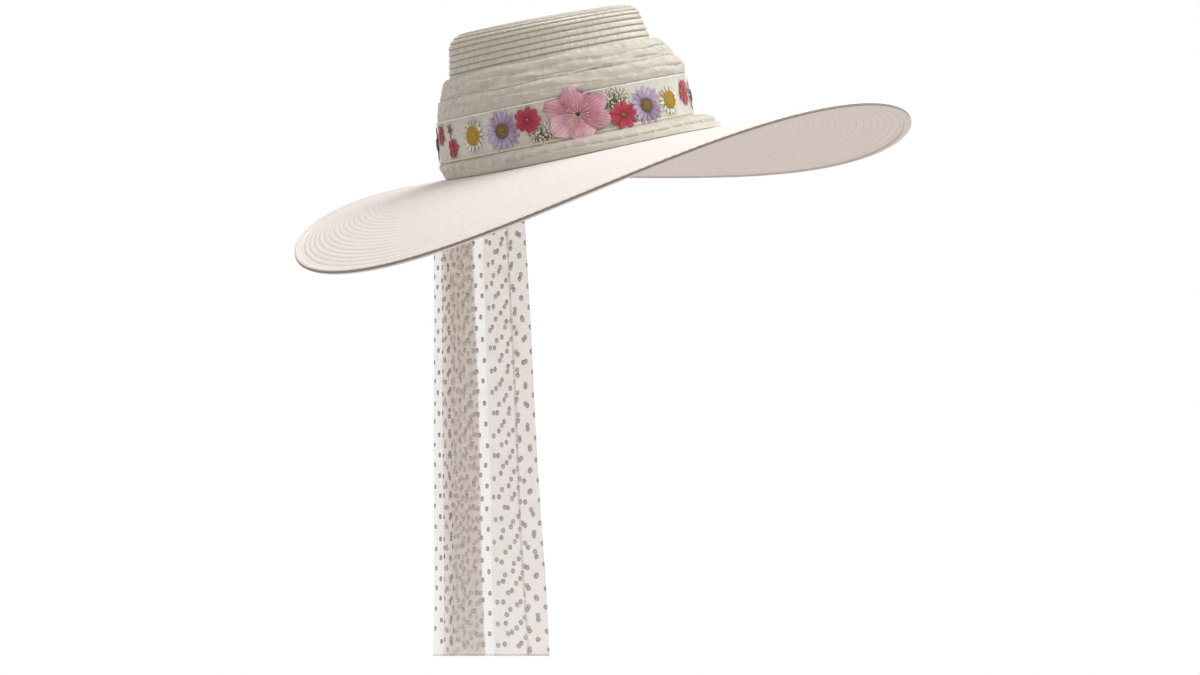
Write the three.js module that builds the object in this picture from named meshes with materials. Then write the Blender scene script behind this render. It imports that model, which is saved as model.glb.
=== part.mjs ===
// A wide-brimmed bridal hat of sewn straw braid, as it is worn.
// Round its crown go a folded wrap of dotted tulle and a clear band of pressed flowers.
// A narrow pleated veil of the same tulle hangs from under the back of the brim.
// Millimetres, +Z up, the front of the hat towards -Y and the wearer's left towards +X.
// The origin is the middle of the head opening, on the plane where the crown meets the brim.
// Angles round the hat start at the front and grow towards the wearer's left.

import * as THREE from 'three';

const GAP = 0.3;
const WALL = 2;
const FRONT_RISE = THREE.MathUtils.degToRad(7.5);
const SIDE_LEAN = THREE.MathUtils.degToRad(-8.4);

const crown = {
  foot: { front: 100, side: 87 },
  shoulder: { front: 80.3, side: 68.3, height: 92 },
  shoulderRadius: 14.5,
  setback: 2,
  dome: 1.6,
  frontDip: 4,
  segments: 60,
};

const brim = {
  radius: 237,
  forward: 27.4,
  oval: 0.0075,
  droop: 25.3,
  saddle: 23.5,
  twist: -2.5,
  straightShare: 0.55,
  edgeWidth: 3.2,
  segments: 80,
};

// The wrap's thickness over the crown wall at each height. The tulle lies thin at the back right
// of the hat and thick at the front left, where its foot spreads over the brim.
const thinSide = THREE.MathUtils.degToRad(225);
const wrapFolds = [
  { fold: 'foot on the brim', height: 0, thin: 3.0, thick: 24.0 },
  { fold: 'foot', height: 5, thin: 6.6, thick: 22.0 },
  { fold: 'foot, under the band', height: 10, thin: 8.2, thick: 17.0 },
  { fold: 'pressed by the band', height: 11.5, thin: 6.6, thick: 5.4 },
  { fold: 'pressed by the band', height: 43, thin: 9.3, thick: 12.6 },
  { fold: 'lower tier', height: 44.5, thin: 9.4, thick: 14.8 },
  { fold: 'lower tier', height: 54, thin: 8.6, thick: 15.8 },
  { fold: 'step', height: 57.5, thin: 7.2, thick: 12.4 },
  { fold: 'upper tier', height: 62, thin: 6.8, thick: 11.4 },
  { fold: 'upper tier', height: 67, thin: 6.0, thick: 9.8 },
  { fold: 'top edge', height: 71.5, thin: 4.2, thick: 7.6 },
  { fold: 'top edge', height: 73.5, thin: 1.6, thick: 3.0 },
];
const WRAP_SEGMENTS = 64;
const PRESSED_FROM = wrapFolds[3];
const PRESSED_TO = wrapFolds[4];

const band = { low: 12, high: 42.6, thickness: 0.9 };

// Each kind's outline: petals, corners for each petal, how deep the notch between two petals is,
// height over width, and whether the slab needs a ring between its middle and its outline.
const kinds = {
  pink_larkspur: { petals: 6, corners: 4, notch: 0.2, squash: 0.7, ring: true, colour: '#d8889f' },
  red_verbena: { petals: 5, corners: 4, notch: 0.28, squash: 0.9, ring: false, colour: '#b8283f' },
  lavender_aster: { petals: 12, corners: 2, notch: 0.12, squash: 1, ring: false, colour: '#b9a3cf' },
  white_daisy: { petals: 10, corners: 2, notch: 0.12, squash: 1, ring: false, colour: '#d0a030' },
  lace_spray: { petals: 7, corners: 2, notch: 0.2, squash: 0.6, ring: false, colour: '#e8e4c8' },
  green_sprig: { petals: 5, corners: 2, notch: 0.3, squash: 0.9, ring: false, colour: '#6a7a5a' },
};

// Where each pressed flower lies on the band. Layer 1 lies over the edge of its layer 0 neighbours.
// The rows from 41 degrees to 220 degrees are round the hidden side.
const flowers = [
  { kind: 'red_verbena', angle: -121, height: 33, radius: 9, turn: 10, layer: 0 },
  { kind: 'green_sprig', angle: -108.5, height: 36, radius: 4.8, turn: 0, layer: 0 },
  { kind: 'red_verbena', angle: -107, height: 21.5, radius: 8.8, turn: 40, layer: 0 },
  { kind: 'white_daisy', angle: -91.3, height: 27.7, radius: 11.6, turn: 0, layer: 0 },
  { kind: 'lavender_aster', angle: -75.1, height: 26.8, radius: 13.2, turn: 0, layer: 0 },
  { kind: 'red_verbena', angle: -62.2, height: 31.2, radius: 10.3, turn: 25, layer: 1 },
  { kind: 'lace_spray', angle: -57.2, height: 20.6, radius: 11.5, turn: 0, layer: 0 },
  { kind: 'pink_larkspur', angle: -40.6, height: 28, radius: 21.5, turn: 30, layer: 1 },
  { kind: 'lace_spray', angle: -23.3, height: 34.4, radius: 12.4, turn: 0, layer: 0 },
  { kind: 'red_verbena', angle: -20.9, height: 21.4, radius: 10, turn: 55, layer: 1 },
  { kind: 'lavender_aster', angle: -7.9, height: 25, radius: 13, turn: 0, layer: 0 },
  { kind: 'white_daisy', angle: 7.5, height: 25.6, radius: 11.6, turn: 0, layer: 0 },
  { kind: 'red_verbena', angle: 24, height: 29.7, radius: 11.6, turn: 20, layer: 0 },
  { kind: 'lavender_aster', angle: 41, height: 26, radius: 13, turn: 0, layer: 0 },
  { kind: 'lace_spray', angle: 56, height: 33, radius: 11.5, turn: 0, layer: 0 },
  { kind: 'white_daisy', angle: 70, height: 26, radius: 11.6, turn: 0, layer: 0 },
  { kind: 'red_verbena', angle: 82.5, height: 30, radius: 10.3, turn: 25, layer: 0 },
  { kind: 'lace_spray', angle: 94, height: 21, radius: 11.5, turn: 0, layer: 0 },
  { kind: 'pink_larkspur', angle: 113, height: 28, radius: 20, turn: 0, layer: 0 },
  { kind: 'lace_spray', angle: 132, height: 34, radius: 11.5, turn: 0, layer: 0 },
  { kind: 'red_verbena', angle: 144, height: 24, radius: 10.3, turn: 50, layer: 0 },
  { kind: 'lavender_aster', angle: 159, height: 27, radius: 13, turn: 0, layer: 0 },
  { kind: 'white_daisy', angle: 175, height: 27, radius: 11.6, turn: 0, layer: 0 },
  { kind: 'red_verbena', angle: 189, height: 30, radius: 10.3, turn: 10, layer: 0 },
  { kind: 'lace_spray', angle: 203, height: 24, radius: 11.5, turn: 0, layer: 0 },
  { kind: 'lavender_aster', angle: 220, height: 27, radius: 13, turn: 0, layer: 0 },
];
const petal = { thickness: 0.8, lift: 0.4, layerStep: 1.2 };

const veil = {
  topFrom: THREE.MathUtils.degToRad(155.5),
  topTo: THREE.MathUtils.degToRad(212),
  hemFrom: THREE.MathUtils.degToRad(144),
  hemTo: THREE.MathUtils.degToRad(207.5),
  insideShare: 0.04,
  outsideShare: 0.16,
  hemInside: 99,
  hemOutside: 113,
  hemHeight: -398,
  hemSlope: 0.172,
  hemDepth: 73,
  pleats: 5,
  pleatDepth: 2.4,
  columns: 30,
  rows: [0, 0.2, 0.4, 0.6, 0.8, 0.93, 1],
};
const header = { thickness: 1.5, from: 156.5, to: 211, inside: 0.04, outside: 0.15, columns: 12 };
const HEADER_GAP = 0.5;

// Collects the corners and triangles of one closed skin. A row runs anticlockwise seen from above.
class Skin {
  corners = [];
  faces = [];

  row(points) {
    const first = this.corners.length;
    this.corners.push(...points);
    return points.map((point, k) => first + k);
  }

  // Joins two rows, facing out where the second lies above the first on the outside of the piece.
  belt(lower, upper) {
    lower.forEach((corner, k) => {
      const next = (k + 1) % lower.length;
      this.faces.push(corner, lower[next], upper[next]);
      this.faces.push(corner, upper[next], upper[k]);
    });
  }

  belts(rows) {
    for (let k = 0; k + 1 < rows.length; k += 1) this.belt(rows[k], rows[k + 1]);
  }

  startTip(tip, row) {
    row.forEach((corner, k) => this.faces.push(tip, row[(k + 1) % row.length], corner));
  }

  endTip(row, tip) {
    row.forEach((corner, k) => this.faces.push(corner, row[(k + 1) % row.length], tip));
  }

  // Closes the end of a strip whose row goes out along one side and comes back along the other.
  stripEnd(row, facesUp) {
    const half = row.length / 2;
    for (let k = 0; k + 1 < half; k += 1) {
      const quad = [row[k], row[k + 1], row[row.length - 2 - k], row[row.length - 1 - k]];
      if (!facesUp) quad.reverse();
      this.faces.push(quad[0], quad[1], quad[2], quad[0], quad[2], quad[3]);
    }
  }

  geometry() {
    const shape = new THREE.BufferGeometry();
    const numbers = this.corners.flatMap((corner) => corner.toArray());
    shape.setAttribute('position', new THREE.Float32BufferAttribute(numbers, 3));
    shape.setIndex(this.faces);
    shape.computeVertexNormals();
    return shape;
  }
}

const mix = THREE.MathUtils.lerp;

function angles(count) {
  return Array.from({ length: count }, (none, k) => (2 * Math.PI * k) / count);
}

function oval(angle, front, side, height, back = 0) {
  return new THREE.Vector3(side * Math.sin(angle), back - front * Math.cos(angle), height);
}

// A point on the outside of the crown's wall, or further out by so many millimetres.
function crownPoint(angle, height, out = 0) {
  const share = height / crown.shoulder.height;
  const front = mix(crown.foot.front, crown.shoulder.front, share) + out;
  const side = mix(crown.foot.side, crown.shoulder.side, share) + out;
  return oval(angle, front, side, height, crown.setback * share);
}

// A point of the brim's top, from 0 at the head opening to 1 at the edge braid.
function brimPoint(angle, share, below = 0) {
  const opening = oval(angle, crown.foot.front - WALL, crown.foot.side - WALL, -GAP);
  const radius = brim.radius - brim.edgeWidth - GAP;
  const edge = edgePoint(angle, radius);
  const fall = brim.straightShare * share + (1 - brim.straightShare) * share * share;
  const point = opening.clone().lerp(edge, share);
  point.z = mix(opening.z, edge.z, fall) - below;
  return point;
}

// A point of the brim's edge line: an oval, set forward of the head, that dips at both sides.
function edgePoint(angle, radius, above = 0) {
  const front = radius * (1 + brim.oval);
  const side = radius * (1 - brim.oval);
  const saddle = brim.saddle * Math.cos(2 * angle) + brim.twist * Math.sin(2 * angle);
  return oval(angle, front, side, saddle - brim.droop + above, -brim.forward);
}

function crownShell() {
  const skin = new Skin();
  const around = angles(crown.segments);
  const arc = [30, 60, 90].map(THREE.MathUtils.degToRad);
  const stations = [0, 30, 60, crown.shoulder.height].map((height) => ({ height, inset: 0, top: 0 }));
  arc.forEach((turn) => {
    const height = crown.shoulder.height + crown.shoulderRadius * Math.sin(turn);
    const inset = crown.shoulderRadius * (1 - Math.cos(turn));
    stations.push({ height, inset, top: Math.sin(turn) });
  });
  const rim = stations.at(-1).height;
  stations.push({ height: rim + 0.7 * crown.dome, inset: 38, top: 1 });

  function station({ height, inset, top }, inward) {
    return around.map((angle) => {
      const point = crownPoint(angle, Math.min(height, crown.shoulder.height), -inset - inward);
      const sunk = inward * top + top * crown.frontDip * 0.5 * (1 + Math.cos(angle));
      point.z = height - sunk;
      return point;
    });
  }

  const outside = stations.map((row) => skin.row(station(row, 0)));
  const inside = stations.map((row) => skin.row(station(row, WALL))).reverse();
  const peak = rim + crown.dome - crown.frontDip / 2;
  const [inner, outer] = skin.row([
    new THREE.Vector3(0, crown.setback, peak - WALL),
    new THREE.Vector3(0, crown.setback, peak),
  ]);
  skin.startTip(inner, inside[0]);
  skin.belts([...inside, ...outside]);
  skin.endTip(outside.at(-1), outer);
  return skin.geometry();
}

function brimShell() {
  const skin = new Skin();
  const around = angles(brim.segments);
  const shares = [0, 0.3, 0.65, 1];
  const under = shares.map((share) => skin.row(around.map((angle) => brimPoint(angle, share, WALL))));
  const top = shares.map((share) => skin.row(around.map((angle) => brimPoint(angle, share)))).reverse();
  skin.belts([...under, ...top, under[0]]);
  return skin.geometry();
}

// The doubled last row of braid, a little thicker than the brim, with a rounded outside.
function edgeBraid() {
  const skin = new Skin();
  const inside = brim.radius - brim.edgeWidth;
  const section = [
    { out: 0, above: -2.6 },
    { out: 2.0, above: -2.8 },
    { out: brim.edgeWidth, above: -1.6 },
    { out: brim.edgeWidth, above: -0.3 },
    { out: 2.0, above: 0.8 },
    { out: 0, above: 0.6 },
  ];
  const rows = section.map(({ out, above }) => (
    skin.row(angles(brim.segments).map((angle) => edgePoint(angle, inside + out, above)))
  ));
  skin.belts([...rows, rows[0]]);
  return skin.geometry();
}

function thickness(angle, fold) {
  const share = 0.5 - 0.5 * Math.cos(angle - thinSide);
  return mix(fold.thin, fold.thick, share);
}

// The wrap's foot lies on the brim: the brim's height under a point so far out from the crown.
function brimHeight(angle, out) {
  const opening = brimPoint(angle, 0);
  const width = brimPoint(angle, 1).sub(opening);
  const share = (WALL + out) / Math.hypot(width.x, width.y);
  return brimPoint(angle, share).z;
}

function wrapRing() {
  const skin = new Skin();
  const around = angles(WRAP_SEGMENTS);
  const top = wrapFolds.at(-1).height;
  const inner = (height) => around.map((angle) => {
    const point = crownPoint(angle, height, GAP);
    if (height === 0) point.z = brimHeight(angle, GAP) + 2 * GAP;
    return point;
  });
  const outer = (fold) => around.map((angle) => {
    const out = thickness(angle, fold);
    const point = crownPoint(angle, fold.height, out);
    if (fold.height === 0) point.z = brimHeight(angle, out) + 2 * GAP;
    return point;
  });
  const rows = [skin.row(inner(top)), skin.row(inner(0))];
  rows.push(...wrapFolds.map((fold) => skin.row(outer(fold))));
  skin.belts([...rows, rows[0]]);
  return skin.geometry();
}

// A point on the outside of the flower band, or further out.
function bandPoint(angle, height, out = 0) {
  const share = (height - PRESSED_FROM.height) / (PRESSED_TO.height - PRESSED_FROM.height);
  const under = mix(thickness(angle, PRESSED_FROM), thickness(angle, PRESSED_TO), share);
  return crownPoint(angle, height, under + GAP + band.thickness + out);
}

function bandRing() {
  const skin = new Skin();
  const section = [
    { height: band.high, out: -band.thickness },
    { height: band.low, out: -band.thickness },
    { height: band.low, out: 0 },
    { height: band.high, out: 0 },
  ];
  const rows = section.map(({ height, out }) => (
    skin.row(angles(WRAP_SEGMENTS).map((angle) => bandPoint(angle, height, out)))
  ));
  skin.belts([...rows, rows[0]]);
  return skin.geometry();
}

// A pressed flower: a thin slab with its petals' outline, bent to the band.
function flowerSlab({ angle, height, radius, turn, layer }, kind) {
  const skin = new Skin();
  const middle = THREE.MathUtils.degToRad(angle);
  const step = 0.01;
  const stretch = bandPoint(middle + step, height).distanceTo(bandPoint(middle, height)) / step;
  const low = petal.lift + layer * petal.layerStep;
  const high = low + petal.thickness;
  const count = kind.petals * kind.corners;

  function place(across, up, out) {
    return bandPoint(middle + across / stretch, height + up, out);
  }
  function outline(share, out) {
    return angles(count).map((way) => {
      const notch = kind.notch * (0.5 - 0.5 * Math.cos(kind.petals * way));
      const reach = radius * share * (1 - notch);
      const aim = way + THREE.MathUtils.degToRad(turn);
      return place(reach * Math.cos(aim), kind.squash * reach * Math.sin(aim), out);
    });
  }

  const shares = kind.ring ? [0.5, 1] : [1];
  const under = shares.map((share) => skin.row(outline(share, low)));
  const over = shares.map((share) => skin.row(outline(share, high))).reverse();
  const [bottom, top] = skin.row([place(0, 0, low), place(0, 0, high)]);
  skin.startTip(bottom, under[0]);
  skin.belts([...under, ...over]);
  skin.endTip(over.at(-1), top);
  return skin.geometry();
}

// The tape that holds the veil's gathers, sewn flat under the back of the brim.
function headerTape() {
  const skin = new Skin();
  const along = Array.from({ length: header.columns + 1 }, (none, k) => (
    THREE.MathUtils.degToRad(mix(header.from, header.to, k / header.columns))
  ));
  const level = (below) => [
    ...along.map((angle) => brimPoint(angle, header.outside, below)),
    ...along.toReversed().map((angle) => brimPoint(angle, header.inside, below)),
  ];
  const low = skin.row(level(WALL + HEADER_GAP + header.thickness));
  const high = skin.row(level(WALL + HEADER_GAP));
  skin.belt(low, high);
  skin.stripEnd(low, false);
  skin.stripEnd(high, true);
  return skin.geometry();
}

// The outer form of the gathered veil: straight pleats from the tape down to the hem.
function veilSolid(hatTilt) {
  const skin = new Skin();
  const below = WALL + HEADER_GAP + header.thickness + GAP;
  const shares = Array.from({ length: veil.columns + 1 }, (none, k) => k / veil.columns);
  const wave = (share) => 0.5 - 0.5 * Math.cos(2 * Math.PI * veil.pleats * share);

  function topPoint(share, outside) {
    const inset = 0.012 * wave(share) * (outside ? -1 : 1);
    const reach = (outside ? veil.outsideShare : veil.insideShare) + inset;
    return brimPoint(mix(veil.topFrom, veil.topTo, share), reach, below).applyMatrix4(hatTilt);
  }
  function hemPoint(share, outside) {
    const inset = veil.pleatDepth * wave(share) * (outside ? -1 : 1);
    const reach = (outside ? veil.hemOutside : veil.hemInside) + inset;
    const point = oval(mix(veil.hemFrom, veil.hemTo, share), reach, reach, 0);
    const depth = (point.x + point.y) * Math.SQRT1_2;
    point.z = veil.hemHeight - veil.hemSlope * (depth - veil.hemDepth);
    return point;
  }
  function level(down) {
    const side = (order, outside) => order.map((share) => (
      topPoint(share, outside).lerp(hemPoint(share, outside), down)
    ));
    return [...side(shares, true), ...side(shares.toReversed(), false)];
  }

  const rows = veil.rows.toReversed().map((down) => skin.row(level(down)));
  skin.belts(rows);
  skin.stripEnd(rows[0], false);
  skin.stripEnd(rows.at(-1), true);
  return skin.geometry();
}

function piece(name, geometry, colour, roughness) {
  const material = new THREE.MeshStandardMaterial({ color: colour, roughness, metalness: 0 });
  const mesh = new THREE.Mesh(geometry, material);
  mesh.name = name;
  return mesh;
}

const hat = new THREE.Group();
hat.rotation.set(-FRONT_RISE, SIDE_LEAN, 0, 'YXZ');
hat.updateMatrix();
hat.add(piece('crown', crownShell(), '#e0dac8', 0.6));
hat.add(piece('brim', brimShell(), '#ece4de', 0.6));
hat.add(piece('brim_edge', edgeBraid(), '#968c84', 0.65));
hat.add(piece('tulle_wrap', wrapRing(), '#dedfd4', 0.85));
hat.add(piece('flower_band', bandRing(), '#ecece4', 0.25));
hat.add(piece('veil_header', headerTape(), '#e8e2da', 0.85));

const counts = {};
flowers.forEach((flower) => {
  const kind = kinds[flower.kind];
  counts[flower.kind] = (counts[flower.kind] ?? 0) + 1;
  const name = `${flower.kind}_${counts[flower.kind]}`;
  hat.add(piece(name, flowerSlab(flower, kind), kind.colour, 0.7));
});

const bridalHat = new THREE.Group();
bridalHat.add(hat);
bridalHat.add(piece('veil', veilSolid(hat.matrix), '#dcd3cb', 0.9));

export default bridalHat;
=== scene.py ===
import math

import bmesh
import bpy
from mathutils import Matrix, Vector, noise


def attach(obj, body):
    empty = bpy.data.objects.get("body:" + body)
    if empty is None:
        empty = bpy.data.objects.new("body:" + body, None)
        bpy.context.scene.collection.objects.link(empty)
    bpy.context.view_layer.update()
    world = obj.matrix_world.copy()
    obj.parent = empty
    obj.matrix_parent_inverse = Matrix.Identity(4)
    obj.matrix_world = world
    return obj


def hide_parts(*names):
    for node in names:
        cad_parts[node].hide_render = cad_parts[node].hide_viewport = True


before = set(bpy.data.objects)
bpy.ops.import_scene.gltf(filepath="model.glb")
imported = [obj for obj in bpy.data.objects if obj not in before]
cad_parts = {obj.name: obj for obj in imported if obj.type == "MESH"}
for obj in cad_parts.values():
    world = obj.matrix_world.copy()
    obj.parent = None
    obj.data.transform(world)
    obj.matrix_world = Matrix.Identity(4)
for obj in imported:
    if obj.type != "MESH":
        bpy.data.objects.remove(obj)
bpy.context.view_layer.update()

# Studio
# A white floor far below the hat, a white surround that only the camera sees, soft even light, a
# large lamp overhead and to the right, and a small one in front of it that lights up the crests of
# the straw.
PICTURE_WIDTH = 1200
PICTURE_HEIGHT = 675
OPENING_PIXEL = (569.8, 154.4)
VIEW_AZIMUTH = math.radians(-45)
VIEW_ELEVATION = math.radians(3.5)
VIEW_DISTANCE = 2.2
LENS = 86.65
SENSOR = 36
FLOOR_DEPTH = 1.65
FLOOR_RADIUS = 2.0
SURROUND_RADIUS = 12
EVEN_LIGHT = 0.68
# Each lamp's power in watts, size and colour, and how far it stands to the right, behind and above.
lamp_places = [
    ("roof_window", 31, 1.3, "#fbfdfb", 0.7, 0.1, 1.95),
    ("front_lamp", 10, 0.35, "#e4fff6", 1.2, -0.96, 1.29),
]


def linear(hex_colour):
    """The linear colour, with full alpha, of an sRGB hex colour."""
    parts = [int(hex_colour[k : k + 2], 16) / 255 for k in (1, 3, 5)]
    return tuple(p / 12.92 if p < 0.04045 else ((p + 0.055) / 1.055) ** 2.4 for p in parts) + (1.0,)


def feed(tree, node, inputs):
    """Gives inputs, by name or number, a value or a link from a socket or a node's first output."""
    for name, value in inputs.items():
        named = [socket for socket in node.inputs if socket.enabled and socket.name == name]
        target = named[0] if named else node.inputs[name]
        if isinstance(value, bpy.types.Node):
            value = next(socket for socket in value.outputs if socket.enabled)
        if isinstance(value, bpy.types.NodeSocket):
            tree.links.new(value, target)
        else:
            target.default_value = value


def add_node(tree, kind, inputs, **settings):
    """Adds a shader node, sets its own properties, and feeds its inputs."""
    node = tree.nodes.new("ShaderNode" + kind)
    for name, value in settings.items():
        setattr(node, name, value)
    feed(tree, node, inputs)
    return node


def start_material(name, **sockets):
    """A material with one shader, whose constant values are set by socket name."""
    material = bpy.data.materials.new(name)
    material.use_nodes = True
    tree = material.node_tree
    shader = tree.nodes["Principled BSDF"]
    feed(tree, shader, {socket.replace("_", " "): value for socket, value in sockets.items()})
    return material, tree, shader


def add_object(skin, name, materials):
    """Makes an object of a bmesh and puts it in the scene."""
    mesh = bpy.data.meshes.new(name)
    skin.to_mesh(mesh)
    skin.free()
    for material in materials:
        mesh.materials.append(material)
    made = bpy.data.objects.new(name, mesh)
    bpy.context.scene.collection.objects.link(made)
    return made


back = Vector((
    math.sin(VIEW_AZIMUTH) * math.cos(VIEW_ELEVATION),
    -math.cos(VIEW_AZIMUTH) * math.cos(VIEW_ELEVATION),
    math.sin(VIEW_ELEVATION),
))
right = Vector((math.cos(VIEW_AZIMUTH), math.sin(VIEW_AZIMUTH), 0))
up = back.cross(right)
pixel = VIEW_DISTANCE * SENSOR / (LENS * PICTURE_WIDTH)
aside = (PICTURE_WIDTH / 2 - OPENING_PIXEL[0]) * pixel
below = (PICTURE_HEIGHT / 2 - OPENING_PIXEL[1]) * pixel

camera_data = bpy.data.cameras.new("camera")
camera_data.lens = LENS
camera_data.sensor_width = SENSOR
camera = bpy.data.objects.new("camera", camera_data)
camera.location = back * VIEW_DISTANCE + right * aside - up * below
camera.rotation_euler = back.to_track_quat("Z", "Y").to_euler()
bpy.context.scene.collection.objects.link(camera)
bpy.context.scene.camera = camera
bpy.context.scene.view_settings.view_transform = "Standard"

world = bpy.data.worlds.new("even_light")
world.use_nodes = True
background = world.node_tree.nodes["Background"]
feed(world.node_tree, background, {"Strength": EVEN_LIGHT, "Color": linear("#fffdfa")})
bpy.context.scene.world = world

for name, power, size, colour, to_right, behind, above in lamp_places:
    lamp_data = bpy.data.lights.new(name, "AREA")
    lamp_data.size = size
    lamp_data.energy = power
    lamp_data.color = linear(colour)[:3]
    lamp = bpy.data.objects.new(name, lamp_data)
    lamp.location = right * to_right - back * behind + up * above
    lamp.rotation_euler = lamp.location.to_track_quat("Z", "Y").to_euler()
    bpy.context.scene.collection.objects.link(lamp)

# Matt white vinyl: even and bright, it throws the light back up under the brim.
vinyl, tree, shader = start_material("matt_white_vinyl", Roughness=0.9, Base_Color=linear("#fbf5ef"))
floor_skin = bmesh.new()
bmesh.ops.create_circle(floor_skin, cap_ends=True, segments=96, radius=FLOOR_RADIUS)
bmesh.ops.translate(floor_skin, verts=floor_skin.verts, vec=(0, 0, -FLOOR_DEPTH))
floor = add_object(floor_skin, "floor", [vinyl])

# A backdrop that gives off its own white and takes no light, so it stays even.
backdrop, tree, shader = start_material(
    "glowing_backdrop", Roughness=1.0, Base_Color=linear("#000000"), Specular_IOR_Level=0,
    Emission_Color=linear("#ffffff"), Emission_Strength=1.0,
)
surround_skin = bmesh.new()
bmesh.ops.create_icosphere(surround_skin, subdivisions=3, radius=SURROUND_RADIUS)
surround = add_object(surround_skin, "surround", [backdrop])
surround.visible_diffuse = False
surround.visible_glossy = False
surround.visible_transmission = False
surround.visible_shadow = False

# Crown
# A tall crown of flat straw plait, sewn row under row from an oval button at the top.
# Each row laps the next a little, so the wall is a stair of soft ridges with dark seams.
FRONT_RISE = math.radians(7.5)
SIDE_LEAN = math.radians(-8.4)
FOOT_FRONT, FOOT_SIDE = 100, 87
SHOULDER_FRONT, SHOULDER_SIDE = 80.3, 68.3
SHOULDER_HEIGHT = 92
SHOULDER_RADIUS = 14.5
SETBACK = 2
DOME = 1.6
FRONT_DIP = 4
WALL = 2
ROW_WIDTH = 4.8
RIDGE_DEPTH = 0.85
RIDGE_RISE = 0.1
LAP = 0.85
PLAIT_WIDTH = 1.5
PLAIT_TURN = math.radians(-38)
MOTTLE_SIZE = 4.55
CROWN_STEPS = 168
FOOT_DROP = 0.25
INNER_LEAN = 0.4
# How far across a row of plait the points of its ridge lie, outside and inside.
OUTER_SHARES = (0, 0.08, 0.25, 0.5, 0.75, 0.92)
INNER_SHARES = (0, 0.5)

HAT_TILT = Matrix.Rotation(SIDE_LEAN, 4, "Y") @ Matrix.Rotation(-FRONT_RISE, 4, "X")
TO_METRES = Matrix.Scale(0.001, 4)


def mix(low, high, share):
    """The value that lies a share of the way from low to high."""
    return low + (high - low) * share


def oval(angle, front, side, height, backward=0.0):
    """A point of an oval round the hat's middle, at an angle from its front."""
    return Vector((side * math.sin(angle), backward - front * math.cos(angle), height))


def spun_skin(points, steps, closed):
    """Turns a chain of (radius, height, row) points once round the middle, faces outwards."""
    skin = bmesh.new()
    row_layer = skin.verts.layers.float.new("row")
    chain = []
    for radius, height, row in points:
        vert = skin.verts.new((0, -radius, height))
        vert[row_layer] = row
        chain.append(vert)
    ends = zip(chain, chain[1:] + chain[:1]) if closed else zip(chain, chain[1:])
    edges = [skin.edges.new(pair) for pair in ends]
    bmesh.ops.spin(
        skin, geom=chain + edges, axis=(0, 0, 1), cent=(0, 0, 0), angle=math.tau, steps=steps,
        use_merge=True,
    )
    bmesh.ops.remove_doubles(skin, verts=skin.verts, dist=1e-4)
    bmesh.ops.recalc_face_normals(skin, faces=skin.faces)
    return skin


def shape_skin(skin, place, map_radius):
    """Moves each point of a round skin to its place, and maps it by millimetres round and rows."""
    row_layer = skin.verts.layers.float["row"]
    uv_layer = skin.loops.layers.uv.new("rows")
    polar = {
        v: (math.atan2(v.co.x, -v.co.y), math.hypot(v.co.x, v.co.y), v.co.z, v[row_layer])
        for v in skin.verts
    }
    for face in skin.faces:
        middle = face.calc_center_median()
        facing = math.atan2(middle.x, -middle.y)
        for loop in face.loops:
            angle = polar[loop.vert][0]
            angle += math.tau * round((facing - angle) / math.tau)
            loop[uv_layer].uv = (angle * map_radius, polar[loop.vert][3])
    for vert, spot in polar.items():
        vert.co = place(*spot)


def make_piece(skin, name, materials, tilt=HAT_TILT):
    """Puts a shaped skin, in millimetres, on the tilted hat as an object in metres."""
    bmesh.ops.transform(skin, matrix=TO_METRES @ tilt, verts=skin.verts)
    for face in skin.faces:
        face.smooth = True
    return add_object(skin, name, materials)


def crown_point(angle, height, out):
    """A point of the crown's outer wall, or further out by so many millimetres."""
    share = height / SHOULDER_HEIGHT
    front = mix(FOOT_FRONT, SHOULDER_FRONT, share) + out
    side = mix(FOOT_SIDE, SHOULDER_SIDE, share) + out
    return oval(angle, front, side, height, SETBACK * share)


def ridge(share, depth, rise, lap):
    """The height of one row of plait over the wall, from its seam at 0 to the next at 1."""
    round_top = math.sqrt(1 - min(1.0, abs(2 * share - 1)) ** 2.6)
    return rise + depth * (round_top - 1) + lap * (share - 0.5)


def crown_line(along):
    """The middle of the crown's front, so far along from the top's centre, and which way is out."""
    top = SHOULDER_FRONT - SHOULDER_RADIUS
    arc = SHOULDER_RADIUS * math.pi / 2
    if along <= top:
        share = along / top
        return along, SHOULDER_HEIGHT + SHOULDER_RADIUS + DOME * (1 - share * share), 0.0
    if along <= top + arc:
        turn = (along - top) / SHOULDER_RADIUS
        radius = top + SHOULDER_RADIUS * math.sin(turn)
        return radius, SHOULDER_HEIGHT + SHOULDER_RADIUS * math.cos(turn), turn
    height = SHOULDER_HEIGHT - (along - top - arc)
    radius = mix(FOOT_FRONT, SHOULDER_FRONT, height / SHOULDER_HEIGHT)
    return radius, height, math.pi / 2


def crown_place(angle, radius, height, row):
    """Where a point of the round crown lies on the oval one."""
    top = SHOULDER_FRONT - SHOULDER_RADIUS
    wall_height = min(height, SHOULDER_HEIGHT)
    share = wall_height / SHOULDER_HEIGHT
    side = radius - mix(FOOT_FRONT, SHOULDER_FRONT, share) + mix(FOOT_SIDE, SHOULDER_SIDE, share)
    if radius < top:
        side = radius * (SHOULDER_SIDE - SHOULDER_RADIUS) / top
    above = max(0.0, height - SHOULDER_HEIGHT) / SHOULDER_RADIUS
    dip = 0.5 * FRONT_DIP * min(above, 1.0) * (1 + math.cos(angle) * min(radius / top, 1.0))
    return oval(angle, radius, side, height - dip, SETBACK * share)


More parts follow.
